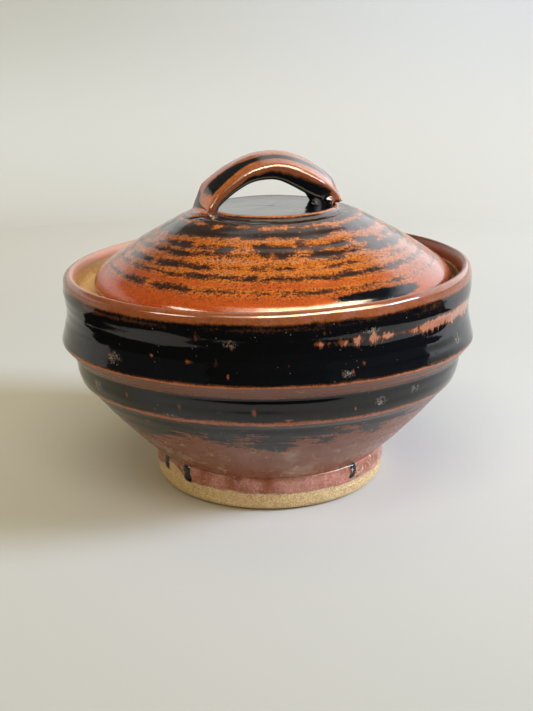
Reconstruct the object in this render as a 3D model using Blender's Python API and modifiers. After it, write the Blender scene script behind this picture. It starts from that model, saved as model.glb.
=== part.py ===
"""Lidded stoneware casserole of the tagine family: a thrown bowl on an added foot
ring, with an inset domed lid that carries a pulled strap handle.

Blender 4.5, metres, +Z up. The origin is the centre of the foot's footprint.
"""

import math

import bmesh
import bpy
from mathutils import Vector

# ---------------------------------------------------------------- driving dimensions
OBJECT_NAME = "tagine_pot"
CLAY_GAP = 0.0003            # joint gap between pieces that touch
TURN_STEPS = 48              # facets round every turned piece
WELD = 0.00005               # merge distance of turned shapes

# Foot ring
FOOT_CONTACT_OUTER = 0.0585  # outer radius of the flat that stands on the table
FOOT_CONTACT_INNER = 0.0525
FOOT_RADIUS = 0.0627         # widest radius of the ring
FOOT_BULGE_Z = 0.0085        # height of the widest radius
FOOT_TOP_Z = 0.0185
FOOT_TOP_INNER = 0.0535

# Bowl, outside
NECK_RADIUS = 0.0632         # crease where the bowl springs from the foot
CONE_MID = (0.0843, 0.0400)  # radius, height half way up the lower cone
LOWER_EDGE = (0.1008, 0.0592)    # carination between cone and straight band
BAND_TOP = (0.1036, 0.0722)      # top of the straight band, under the overhang
BODY_RADIUS = 0.1100         # widest radius, at the upper carination
BODY_EDGE_Z = 0.0800
WAIST = (0.1072, 0.0965)     # hollow of the upper wall
LIP_BULGE = (0.1081, 0.1108)
RIM_Z = 0.1174
LIP_INNER_RADIUS = 0.1030

# Bowl, inside
GALLERY_Z = 0.1055           # ledge that the lid sits on
GALLERY_OUTER = 0.1010
GALLERY_INNER = 0.0850
LEDGE_THICKNESS = 0.0045
WALL = 0.0072                # wall of the body
FLOOR_Z = 0.0275             # inside floor

# Lid
LID_SHIFT_X = 0.0024         # the lid sits a little off centre in its loose seat
LID_RADIUS = 0.0946          # widest radius, just above the seat
LID_EDGE_Z = 0.1118
LID_SEAT_RADIUS = 0.0924
LID_SEAT_WIDTH = 0.0065
DISC_RADIUS = 0.0340         # flat disc under the handle
DISC_Z = 0.1474
LID_WALL = 0.0066
LID_SLOPE = ((0.0485, 0.1430), (0.0685, 0.1320), (0.0865, 0.1203), (0.0926, 0.1157))
LID_HOLLOW = ((0.0810, 0.1158), (0.0650, 0.1258), (0.0455, 0.1362))
HOLLOW_TOP_RADIUS = 0.0300   # where the hollow levels out under the disc

# Strap handle
HANDLE_ANGLE = math.radians(12)  # its length is turned this far from X
HANDLE_HALF_LENGTH = 0.0365
HANDLE_WIDTH = 0.0270
HANDLE_CORNER_Z = 0.1580     # where the arch bends down into its feet
HANDLE_TOP_Z = 0.1748
ARCH_HALF_SPAN = 0.0262      # half the finger opening, at the lid
ARCH_SHIFT = -0.0045         # the opening is nearer the thinner left foot
ARCH_TOP_Z = 0.1642
HANDLE_EDGE_ROUND = 0.0022
HANDLE_FOOT_DEPTH = 0.0080   # the feet start this far below the disc, then are cut to fit

# ---------------------------------------------------------------- material colours
GLAZE_BLACK = (0.030, 0.026, 0.026)
GLAZE_RUST = (0.330, 0.095, 0.035)
GLAZE_PLUM = (0.200, 0.070, 0.060)


def main():
    """Builds the pot, piece by piece."""
    clear_scene()
    parts = new_collection(OBJECT_NAME)
    cutters = new_collection("cutters")
    root = bpy.data.objects.new(OBJECT_NAME + "_origin", None)
    parts.objects.link(root)

    pieces = [
        make_foot_ring(parts),
        make_bowl(parts),
        make_lid(parts),
        make_strap_handle(parts, cutters),
    ]
    for piece in pieces:
        piece.parent = root


def clear_scene():
    """Removes whatever the file holds."""
    for item in list(bpy.data.objects):
        bpy.data.objects.remove(item, do_unlink=True)


def new_collection(name):
    """Adds a collection to the scene."""
    collection = bpy.data.collections.new(name)
    bpy.context.scene.collection.children.link(collection)
    return collection


def glaze(name, colour, roughness):
    """A fired glaze: one colour, not metallic."""
    material = bpy.data.materials.new(name)
    material.use_nodes = True
    shader = material.node_tree.nodes["Principled BSDF"]
    shader.inputs["Base Color"].default_value = (*colour, 1.0)
    shader.inputs["Roughness"].default_value = roughness
    shader.inputs["Metallic"].default_value = 0.0
    return material


def arc(centre, radius, start_deg, end_deg, steps):
    """Points on a circular arc, ends included."""
    points = []
    for i in range(steps + 1):
        angle = math.radians(start_deg + (end_deg - start_deg) * i / steps)
        points.append((centre[0] + radius * math.cos(angle),
                       centre[1] + radius * math.sin(angle)))
    return points


def soft_curve(knots, steps):
    """A Catmull-Rom curve through the knots, ends included."""
    padded = [knots[0]] + list(knots) + [knots[-1]]
    points = []
    for a, b, c, d in zip(padded, padded[1:], padded[2:], padded[3:]):
        for i in range(steps):
            t = i / steps
            points.append(tuple(
                0.5 * (2 * q + (r - p) * t + (2 * p - 5 * q + 4 * r - s) * t ** 2
                       + (3 * q - p - 3 * r + s) * t ** 3)
                for p, q, r, s in zip(a, b, c, d)))
    points.append(tuple(knots[-1]))
    return points


def turned(name, outline, collection, closed=False):
    """Turns an outline of (radius, height) points about Z with a Screw modifier."""
    mesh = bpy.data.meshes.new(name)
    form = bmesh.new()
    verts = [form.verts.new((radius, 0.0, height)) for radius, height in outline]
    for start, end in zip(verts, verts[1:]):
        form.edges.new((start, end))
    if closed:
        form.edges.new((verts[-1], verts[0]))
    form.to_mesh(mesh)
    form.free()
    piece = bpy.data.objects.new(name, mesh)
    collection.objects.link(piece)
    screw = piece.modifiers.new("turn", "SCREW")
    screw.axis = "Z"
    screw.angle = math.tau
    screw.steps = TURN_STEPS
    screw.render_steps = TURN_STEPS
    screw.use_merge_vertices = True
    screw.merge_threshold = WELD
    screw.use_smooth_shade = True
    return piece


def make_foot_ring(collection):
    """A thrown ring, swelling a little above its narrow standing flat."""
    outer = soft_curve([(FOOT_RADIUS - 0.0004, FOOT_TOP_Z),
                        (FOOT_RADIUS, FOOT_BULGE_Z),
                        (FOOT_CONTACT_OUTER + 0.0022, 0.0018),
                        (FOOT_CONTACT_OUTER, 0.0)], 3)
    inner = [(FOOT_CONTACT_INNER, 0.0),
             (FOOT_CONTACT_INNER - 0.0010, 0.0020),
             (FOOT_TOP_INNER, FOOT_TOP_Z)]
    ring = turned("foot_ring", outer + inner, collection, closed=True)
    ring.data.materials.append(glaze("foot_glaze", GLAZE_PLUM, 0.45))
    return ring


def make_bowl(collection):
    """The body: cone, straight band, overhanging carination, waist, lip and gallery."""
    base_z = FOOT_TOP_Z + CLAY_GAP
    inside = soft_curve([(0.0, FLOOR_Z),
                         (NECK_RADIUS - 0.018, FLOOR_Z + 0.0004),
                         (NECK_RADIUS + 0.002, FLOOR_Z + 0.0070),
                         (CONE_MID[0] - 0.0030, CONE_MID[1] + 0.0070),
                         (LOWER_EDGE[0] - WALL, LOWER_EDGE[1] + 0.0050),
                         (BODY_RADIUS - WALL - 0.0030, BODY_EDGE_Z + 0.0020),
                         (WAIST[0] - WALL - 0.0020, WAIST[1] - 0.0010)], 3)
    ledge_low_z = GALLERY_Z - LEDGE_THICKNESS
    gallery = [(GALLERY_INNER + 0.0015, ledge_low_z),
               (GALLERY_INNER, ledge_low_z + 0.0015),
               (GALLERY_INNER, GALLERY_Z - 0.0008),
               (GALLERY_INNER + 0.0008, GALLERY_Z),
               (GALLERY_OUTER, GALLERY_Z)]
    lip = soft_curve([(GALLERY_OUTER + 0.0010, GALLERY_Z + 0.0015),
                      (LIP_INNER_RADIUS, RIM_Z - 0.0022),
                      (LIP_INNER_RADIUS + 0.0020, RIM_Z),
                      (LIP_BULGE[0] - 0.0012, RIM_Z - 0.0020),
                      LIP_BULGE], 2)
    upper_wall = soft_curve([(LIP_BULGE[0] - 0.0004, LIP_BULGE[1] - 0.0045),
                             WAIST,
                             (BODY_RADIUS - 0.0010, BODY_EDGE_Z + 0.0070),
                             (BODY_RADIUS, BODY_EDGE_Z)], 3)
    overhang = [(BODY_RADIUS - 0.0012, BODY_EDGE_Z - 0.0016), BAND_TOP]
    band = soft_curve([(BAND_TOP[0] - 0.0004, BAND_TOP[1] - 0.0030),
                       (LOWER_EDGE[0] + 0.0012, LOWER_EDGE[1] + 0.0035),
                       LOWER_EDGE], 2)
    cone = soft_curve([(LOWER_EDGE[0] - 0.0016, LOWER_EDGE[1] - 0.0016),
                       CONE_MID,
                       (NECK_RADIUS, base_z)], 3)
    outline = inside + gallery + lip + upper_wall + overhang + band + cone
    bowl = turned("bowl", outline + [(0.0, base_z)], collection)
    bowl.data.materials.append(glaze("bowl_glaze", GLAZE_BLACK, 0.12))
    return bowl


def lid_top_outline():
    """The lid's upper surface, from its flat disc down to its widest radius."""
    slope = soft_curve([(DISC_RADIUS, DISC_Z),
                        (DISC_RADIUS + 0.0040, DISC_Z - 0.0006),
                        *LID_SLOPE,
                        (LID_RADIUS, LID_EDGE_Z)], 3)
    return [(0.0, DISC_Z)] + slope


def make_lid(collection):
    """A shallow dome with a flat disc on top, hollow below, with a flat seat."""
    seat_z = GALLERY_Z + CLAY_GAP
    edge = [(LID_RADIUS - 0.0006, LID_EDGE_Z - 0.0026),
            (LID_SEAT_RADIUS, seat_z),
            (LID_SEAT_RADIUS - LID_SEAT_WIDTH, seat_z)]
    hollow = soft_curve([(LID_SEAT_RADIUS - LID_SEAT_WIDTH - 0.0012, seat_z + 0.0030),
                         *LID_HOLLOW,
                         (HOLLOW_TOP_RADIUS, DISC_Z - LID_WALL - 0.0004),
                         (0.0, DISC_Z - LID_WALL)], 3)
    lid = turned("lid", lid_top_outline() + edge + hollow, collection)
    lid.location.x = LID_SHIFT_X
    lid.data.materials.append(glaze("lid_glaze", GLAZE_RUST, 0.25))
    return lid


def circle_through(half_chord, chord_z, top_z):
    """Centre height, radius and half angle of the arc over a chord."""
    rise = top_z - chord_z
    radius = (half_chord ** 2 + rise ** 2) / (2 * rise)
    half_angle = math.degrees(math.asin(half_chord / radius))
    return top_z - radius, radius, half_angle


def strap_outline():
    """The strap seen from the side: outer arch, straight feet, inner arch."""
    foot_z = DISC_Z - HANDLE_FOOT_DEPTH
    outer_z, outer_radius, outer_half = circle_through(
        HANDLE_HALF_LENGTH, HANDLE_CORNER_Z, HANDLE_TOP_Z)
    inner_z, inner_radius, inner_half = circle_through(
        ARCH_HALF_SPAN, DISC_Z, ARCH_TOP_Z)
    outer = arc((0.0, outer_z), outer_radius, 90 + outer_half, 90 - outer_half, 14)
    inner = arc((ARCH_SHIFT, inner_z), inner_radius, 90 - inner_half, 90 + inner_half, 12)
    return ([(-HANDLE_HALF_LENGTH, foot_z)] + outer + [(HANDLE_HALF_LENGTH, foot_z)]
            + [(ARCH_SHIFT + ARCH_HALF_SPAN, foot_z)] + inner
            + [(ARCH_SHIFT - ARCH_HALF_SPAN, foot_z)])


def make_strap_handle(parts, cutters):
    """A wide pulled strap, bent over as an arch and joined to the lid at both feet."""
    outline = bpy.data.curves.new("strap_outline", "CURVE")
    outline.dimensions = "2D"
    outline.fill_mode = "BOTH"
    outline.extrude = HANDLE_WIDTH / 2
    points = strap_outline()
    spline = outline.splines.new("POLY")
    spline.points.add(len(points) - 1)
    for point, (along, height) in zip(spline.points, points):
        point.co = (along, height, 0.0, 1.0)
    spline.use_cyclic_u = True
    guide = bpy.data.objects.new("strap_guide", outline)
    guide.location.x = LID_SHIFT_X
    guide.rotation_euler = (math.pi / 2, 0.0, HANDLE_ANGLE)
    parts.objects.link(guide)
    bpy.context.view_layer.update()

    strap = mesh_from_curve(guide, "strap_handle", parts)
    rounding = strap.modifiers.new("soft_edges", "BEVEL")
    rounding.width = HANDLE_EDGE_ROUND
    rounding.segments = 3
    rounding.limit_method = "ANGLE"
    rounding.angle_limit = math.radians(60)

    seat = lid_seat_cutter(cutters)
    fit = strap.modifiers.new("fit_to_lid", "BOOLEAN")
    fit.operation = "DIFFERENCE"
    fit.solver = "EXACT"
    fit.object = seat
    strap.data.materials.append(glaze("handle_glaze", GLAZE_RUST, 0.22))
    return strap


def mesh_from_curve(guide, name, collection):
    """Replaces a curve object with a closed mesh object in the same place."""
    shape = guide.evaluated_get(bpy.context.evaluated_depsgraph_get())
    mesh = bpy.data.meshes.new_from_object(shape)
    form = bmesh.new()
    form.from_mesh(mesh)
    bmesh.ops.remove_doubles(form, verts=form.verts, dist=WELD)
    bmesh.ops.recalc_face_normals(form, faces=form.faces)
    form.to_mesh(mesh)
    form.free()
    mesh.name = name
    piece = bpy.data.objects.new(name, mesh)
    piece.matrix_world = guide.matrix_world.copy()
    collection.objects.link(piece)
    bpy.data.objects.remove(guide, do_unlink=True)
    return piece


def lid_seat_cutter(collection):
    """The lid's upper surface raised by the joint gap: it shapes the strap's feet."""
    raised = [(radius, height + CLAY_GAP) for radius, height in lid_top_outline()]
    low_z = LID_EDGE_Z - 0.0100
    cutter = turned("lid_seat_cutter", raised + [(LID_RADIUS, low_z), (0.0, low_z)],
                    collection)
    cutter.location.x = LID_SHIFT_X
    cutter.hide_render = True
    cutter.display_type = "WIRE"
    return cutter


main()
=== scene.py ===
"""Looks of the lidded stoneware casserole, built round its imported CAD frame.

Every piece is a fine turned or swept mesh that stands for one CAD node. Metres, +Z up.
Angles round the wheel axis are in degrees from the front (-Y), positive towards +X.
"""

import math

import bmesh
import bpy
import numpy as np
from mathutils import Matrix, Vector


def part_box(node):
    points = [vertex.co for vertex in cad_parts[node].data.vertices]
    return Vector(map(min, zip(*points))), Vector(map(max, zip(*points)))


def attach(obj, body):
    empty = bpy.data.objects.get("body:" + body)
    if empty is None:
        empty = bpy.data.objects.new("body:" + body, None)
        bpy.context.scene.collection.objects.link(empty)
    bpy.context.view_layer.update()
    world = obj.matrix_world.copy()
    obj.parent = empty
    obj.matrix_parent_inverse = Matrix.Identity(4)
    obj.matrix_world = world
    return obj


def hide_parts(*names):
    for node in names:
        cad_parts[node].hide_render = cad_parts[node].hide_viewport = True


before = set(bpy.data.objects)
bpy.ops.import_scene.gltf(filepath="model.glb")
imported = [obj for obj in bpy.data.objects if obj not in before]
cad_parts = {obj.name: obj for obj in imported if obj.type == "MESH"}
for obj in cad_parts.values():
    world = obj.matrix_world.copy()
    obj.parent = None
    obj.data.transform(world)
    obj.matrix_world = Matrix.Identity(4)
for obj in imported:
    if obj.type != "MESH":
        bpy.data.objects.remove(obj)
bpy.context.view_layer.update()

# ======== sizes from the frame
BOWL_LOW, BOWL_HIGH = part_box("bowl")
FOOT_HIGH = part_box("foot_ring")[1]
LID_LOW, LID_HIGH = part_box("lid")
STRAP_TOP_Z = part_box("strap_handle")[1].z
MM = 0.001
BODY_RADIUS = BOWL_HIGH.x
BASE_Z = BOWL_LOW.z
RIM_Z = BOWL_HIGH.z
FOOT_TOP_Z = FOOT_HIGH.z
FOOT_RADIUS = FOOT_HIGH.x
LID_X = (LID_LOW.x + LID_HIGH.x) / 2
LID_RADIUS = (LID_HIGH.x - LID_LOW.x) / 2
SEAT_Z = LID_LOW.z
DISC_Z = LID_HIGH.z

# ======== shape of the clay
SIDES = 288                   # facets round the wheel axis
BAND_WARP = 0.004             # the ridges stand this much higher at the front
BOWL_X = -0.0006              # the bowl sits this far off the foot's axis
RIM_TILT = 0.019              # slope of the rim, rising to the right
SEAT_TILT = 0.0045            # slope of the gallery and of the lid on it
OVAL = 0.004                  # share by which the body is out of round
HANDLE_ANGLE = math.radians(12)
ON_AXIS = 0.00002             # radius of the rings that are welded into one point
NOISE_RADIUS = 0.1            # noise on turned surfaces is read round a circle this large
FAR = 3.0                     # distances to the edge of a patch stop here, in millimetres


# ======== numbers on surfaces
def smooth(x, low, high):
    """0 below low, 1 above high, and a soft step between."""
    t = np.clip((x - low) / (high - low), 0.0, 1.0)
    return t * t * (3 - 2 * t)


def unit(x):
    """x kept between 0 and 1."""
    return np.clip(x, 0, 1)


def limited(distance):
    """A signed distance kept within FAR."""
    return np.clip(distance, -FAR, FAR)


def hill(x, centre, half):
    """A soft bump of height 1 at centre, near 0 at two half widths."""
    return np.exp(-(((x - centre) / half) ** 2))


def lattice(ix, iy, iz, seed):
    """A repeatable value from -1 to 1 for each lattice point."""
    h = (ix * 374761393 + iy * 668265263 + iz * 2147483647 + seed * 974634777)
    h = (h ^ (h >> 13)) * 1274126177
    h = (h ^ (h >> 16)) & 0xFFFFFF
    return h / float(0x7FFFFF) - 1.0


def value_noise(p, seed):
    """Smooth noise from -1 to 1 at points p of shape (n, 3)."""
    cell = np.floor(p).astype(np.int64)
    f = p - cell
    f = f * f * (3 - 2 * f)
    total = np.zeros(len(p))
    for dx in (0, 1):
        wx = f[:, 0] if dx else 1 - f[:, 0]
        for dy in (0, 1):
            wy = f[:, 1] if dy else 1 - f[:, 1]
            for dz in (0, 1):
                wz = f[:, 2] if dz else 1 - f[:, 2]
                corner = lattice(cell[:, 0] + dx, cell[:, 1] + dy, cell[:, 2] + dz, seed)
                total += corner * wx * wy * wz
    return total


def fractal(p, seed, octaves=3):
    """Layers of value noise, each half as large and half as strong."""
    total = np.zeros(len(p))
    for i in range(octaves):
        total += value_noise(p * 2 ** i, seed + 17 * i) / 2 ** i
    return total / 1.6


def ring_noise(angle, height, along, across, seed, octaves=3):
    """Noise on a turned surface: along and across are feature sizes in metres."""
    a = np.radians(angle)
    p = np.stack([NOISE_RADIUS * np.cos(a) / along, NOISE_RADIUS * np.sin(a) / along,
                  height / across], 1)
    return fractal(p, seed, octaves)


def round_noise(angle, along, seed, octaves=3):
    """Noise that changes only with the angle."""
    return ring_noise(angle, angle * 0, along, 1.0, seed, octaves)


# ======== outlines
def soft_curve(knots, spacing):
    """Points at an even spacing on a Catmull-Rom curve through the knots."""
    knots = np.array(knots, float)
    padded = np.vstack([2 * knots[0] - knots[1], knots, 2 * knots[-1] - knots[-2]])
    t = np.linspace(0, 1, 24, endpoint=False)[:, None]
    dense = []
    for a, b, c, d in zip(padded, padded[1:], padded[2:], padded[3:]):
        dense.append(0.5 * (2 * b + (c - a) * t + (2 * a - 5 * b + 4 * c - d) * t ** 2
                            + (3 * b - a - 3 * c + d) * t ** 3))
    dense = np.vstack(dense + [knots[-1:]])
    return in_steps(dense, max(1, int(round(run_length(dense)[-1] / spacing))) + 1)


def in_steps(line, count):
    """The same line with this many points, evenly spaced, ends kept."""
    run = run_length(line)
    at = np.linspace(0, run[-1], count)
    return np.stack([np.interp(at, run, line[:, k]) for k in range(2)], 1)


def run_length(points):
    """Distance along a line of points."""
    steps = np.hypot(*np.diff(points, axis=0).T)
    return np.concatenate([[0.0], np.cumsum(steps)])


def joined(*lines):
    """One outline from several; each starts near where the last one ends."""
    return np.vstack(lines)


# ======== meshes
class Turned:
    """The points of a turned surface, ring by ring, before and after it is bent."""

    def __init__(self, outline, closed=False):
        self.outline = outline
        self.closed = closed
        self.rings = len(outline)
        self.angle = np.tile(np.linspace(-180, 180, SIDES, endpoint=False), self.rings)
        self.radius = np.repeat(outline[:, 0], SIDES)
        self.level = np.repeat(outline[:, 1], SIDES)
        self.run = np.repeat(run_length(outline), SIDES)
        self.ring = np.repeat(np.arange(self.rings), SIDES)

    def points(self, radius, height):
        """Places for every vertex from its final radius and height."""
        a = np.radians(self.angle)
        return np.stack([radius * np.sin(a), -radius * np.cos(a), height], 1)

    def faces(self):
        """Quads between the rings."""
        return grid_faces(self.rings, SIDES, self.closed)


def grid_faces(rings, sides, close_rings=False, close_sides=True):
    """Quads between rings of points, each ring with this many sides."""
    ring = np.arange(rings if close_rings else rings - 1)[:, None]
    side = np.arange(sides if close_sides else sides - 1)[None, :]
    here = ring * sides
    there = ((ring + 1) % rings) * sides
    after = (side + 1) % sides
    quads = np.stack([here + side, here + after, there + after, there + side], -1)
    return quads.reshape(-1, 4)


def placed(name, data):
    """A new object in the scene."""
    item = bpy.data.objects.new(name, data)
    bpy.context.scene.collection.objects.link(item)
    return item


def mesh_object(name, points, faces, fields):
    """A smooth-shaded object with one float attribute for each field."""
    mesh = bpy.data.meshes.new(name)
    mesh.vertices.add(len(points))
    move_vertices(mesh, points)
    mesh.loops.add(faces.size)
    mesh.loops.foreach_set("vertex_index", faces.astype(np.int32).ravel())
    mesh.polygons.add(len(faces))
    starts = np.arange(0, faces.size, faces.shape[1])
    mesh.polygons.foreach_set("loop_start", starts.astype(np.int32))
    mesh.update(calc_edges=True)
    mesh.validate()
    write_fields(mesh, fields)
    mesh.shade_smooth()
    return placed(name, mesh)


def write_fields(mesh, fields):
    """Stores surface values as point attributes, which the materials read."""
    for name, values in fields.items():
        if np.ndim(values) == 0:
            values = np.full(len(mesh.vertices), values)
        values = np.asarray(values, np.float32)
        kind, key = ("FLOAT_VECTOR", "vector") if values.ndim == 2 else ("FLOAT", "value")
        mesh.attributes.new(name, kind, "POINT").data.foreach_set(key, values.ravel())


def weld_axis(item):
    """Joins the rings that lie on the axis into single points."""
    form = bmesh.new()
    form.from_mesh(item.data)
    bmesh.ops.remove_doubles(form, verts=form.verts, dist=ON_AXIS)
    bmesh.ops.recalc_face_normals(form, faces=form.faces)
    form.to_mesh(item.data)
    form.free()
    item.data.shade_smooth()


def flow_field(turned, radius=0.1):
    """Coordinates that follow the surface: round the axis, and along the outline."""
    a = np.radians(turned.angle)
    return np.stack([radius * np.sin(a), -radius * np.cos(a), turned.run], 1)


# ======== bowl
def bowl_outline():
    """Inside from the centre out, gallery, lip, then the outside down to the base."""
    inside = soft_curve([
        (ON_AXIS, 0.0275), (0.03, 0.0276), (0.052, 0.0298), (0.0652, 0.0345), (0.0813, 0.047),
        (0.0936, 0.0642), (0.0998, 0.082), (0.0982, 0.0955)], 0.0016)
    ledge = soft_curve([
        (0.0978, 0.0968), (0.0945, 0.0995), (0.088, 0.1008), (0.0856, 0.1018), (0.085, 0.1034),
        (0.0855, 0.1049), (0.0868, 0.1055), (0.09, 0.1055)], 0.0008)
    step = soft_curve([
        (0.0908, 0.1055), (0.099, 0.1055), (0.1004, 0.106), (0.101, 0.1072), (0.1016, 0.111),
        (0.1022, 0.1145), (0.1032, 0.1167), (0.1044, RIM_Z)], 0.0006)
    lip = soft_curve([
        (0.1049, RIM_Z), (0.1061, 0.1169), (0.1072, 0.1157), (0.1077, 0.114), (0.108, 0.1118),
        (0.1081, 0.1095)], 0.00045)
    wall = soft_curve([
        (0.10812, 0.109), (0.108, 0.1064), (0.1074, 0.1024), (0.107, 0.0994), (0.107, 0.0962),
        (0.1073, 0.0925), (0.1083, 0.088), (0.1095, 0.0832), (0.11, 0.0813)], 0.0007)
    arris = soft_curve([
        (0.11005, 0.0808), (BODY_RADIUS, 0.08), (0.1095, 0.0792), (0.1082, 0.0776),
        (0.106, 0.075), (0.1046, 0.0733), (0.104, 0.0724)], 0.00045)
    band = soft_curve([
        (0.1037, 0.0717), (0.1034, 0.069), (0.1026, 0.064), (0.1013, 0.0598),
        (0.1004, 0.0583)], 0.0006)
    edge = soft_curve([
        (0.0998, 0.0577), (0.0988, 0.0566), (0.0972, 0.0553), (0.0955, 0.0531)], 0.0005)
    cone = soft_curve([
        (0.0949, 0.0523), (0.09, 0.0464), (0.0843, 0.04), (0.076, 0.0314), (0.069, 0.0245),
        (0.0645, 0.0202), (0.0634, 0.0192), (0.0626, BASE_Z)], 0.0008)
    base = soft_curve([(0.0612, BASE_Z), (0.03, BASE_Z), (ON_AXIS, BASE_Z)], 0.004)
    return joined(inside, ledge, step, lip, wall, arris, band, edge, cone, base)


def ridge_warp(level):
    """How far the front and back of a level rise and sink: most at the ridges."""
    return BAND_WARP * np.interp(level, [BASE_Z, 0.057, 0.08, 0.1055], [0.1, 1, 0.85, 0])


def tilt_at(level):
    """Sideways slope of a level of the bowl."""
    return np.interp(level, [0.08, 0.1, 0.1055, RIM_Z], [0, SEAT_TILT, SEAT_TILT, RIM_TILT])


def make_bowl():
    """The thrown body, slightly out of round, with its soft throwing rings."""
    t = Turned(bowl_outline())
    outer = t.ring > ring_near(t, RIM_Z)
    level_mm = t.level / MM
    rings = 0.0001 * np.sin(math.tau * (t.level / 0.0062 + t.angle / 360.0))
    rings = rings * smooth(ring_noise(t.angle, t.level, 0.09, 0.02, 3), -0.5, 0.5)
    lumps = 0.00022 * ring_noise(t.angle, t.level, 0.035, 0.012, 5)
    wobble = 0.00035 * round_noise(t.angle, 0.06, 8, 2)
    oval = OVAL * t.radius * np.cos(np.radians(2 * t.angle + 30)) * 0.5
    seat = hill(t.level, SEAT_Z, 0.0022) * (t.radius < 0.1025)
    free = (1 - seat) * smooth(t.radius, 0.02, 0.05)
    radius = t.radius + (rings + lumps + wobble + oval) * free
    ragged = 0.0003 * ring_noise(t.angle, t.level, 0.012, 0.02, 11, 2)
    ragged = ragged * hill(level_mm, 79.6, 1.6) * outer
    lift = ridge_warp(t.level) * np.cos(np.radians(t.angle)) * smooth(t.radius, 0.03, 0.09)
    side = np.sin(np.radians(t.angle)) * t.radius * tilt_at(t.level)
    rim_wave = 0.00028 * round_noise(t.angle, 0.045, 21, 2)
    rim_wave = rim_wave * smooth(level_mm, 110, 116)
    height = t.level + lift + side + rim_wave + ragged
    base = t.level <= BASE_Z + 0.0003
    height = np.where(base, t.level, height)
    points = t.points(radius, height)
    points[:, 0] += BOWL_X * free
    bowl = mesh_object("bowl_body", points, t.faces(), bowl_fields(t, outer))
    weld_axis(bowl)
    return bowl


def ring_near(t, level):
    """Number of the ring nearest to a level."""
    return int(np.argmin(np.abs(t.outline[:, 1] - level)))


# Small rust spots on the black: angle, height, half width and half height in millimetres.
BOWL_SPOTS = (
    (-17.0, 106.0, 0.8, 2.6), (-19.5, 92.0, 1.0, 1.1), (-13.0, 92.5, 0.7, 1.8),
    (-30.0, 93.0, 0.7, 0.7), (-8.5, 101.0, 0.5, 1.0), (-42.0, 88.0, 0.6, 0.8),
    (-38.0, 84.5, 0.5, 0.6), (-41.0, 67.0, 0.8, 1.0), (-24.0, 66.0, 0.5, 1.2),
    (-13.0, 65.0, 0.6, 0.9), (-4.0, 65.5, 0.9, 1.7), (5.0, 60.9, 1.6, 0.5),
    (24.0, 89.0, 0.5, 0.9), (52.0, 68.0, 0.6, 0.8), (75.0, 90.0, 0.7, 1.6),
    (-88.0, 99.0, 0.8, 2.0), (-120.0, 66.0, 0.7, 1.0), (140.0, 92.0, 0.8, 1.4),
)

# Places where the glaze is scuffed pale, and at 19 degrees and 85 mm a painted glint, in the same
# way.
BOWL_NICKS_AND_GLINTS = (
    (19.0, 85.0, 2.2, 1.6), (-42.0, 87.5, 3.5, 3.0), (-55.0, 66.5, 3.0, 2.5),
    (31.0, 66.0, 2.6, 2.2), (43.0, 68.0, 2.2, 1.8), (-27.0, 60.6, 3.4, 0.6),
    (-9.0, 103.0, 2.5, 2.0), (8.0, 77.5, 2.5, 1.0), (60.0, 88.0, 3.0, 2.5),
    (26.0, 106.0, 4.0, 1.2), (110.0, 90.0, 3.0, 2.0), (-150.0, 88.0, 3.0, 3.0),
)


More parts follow.
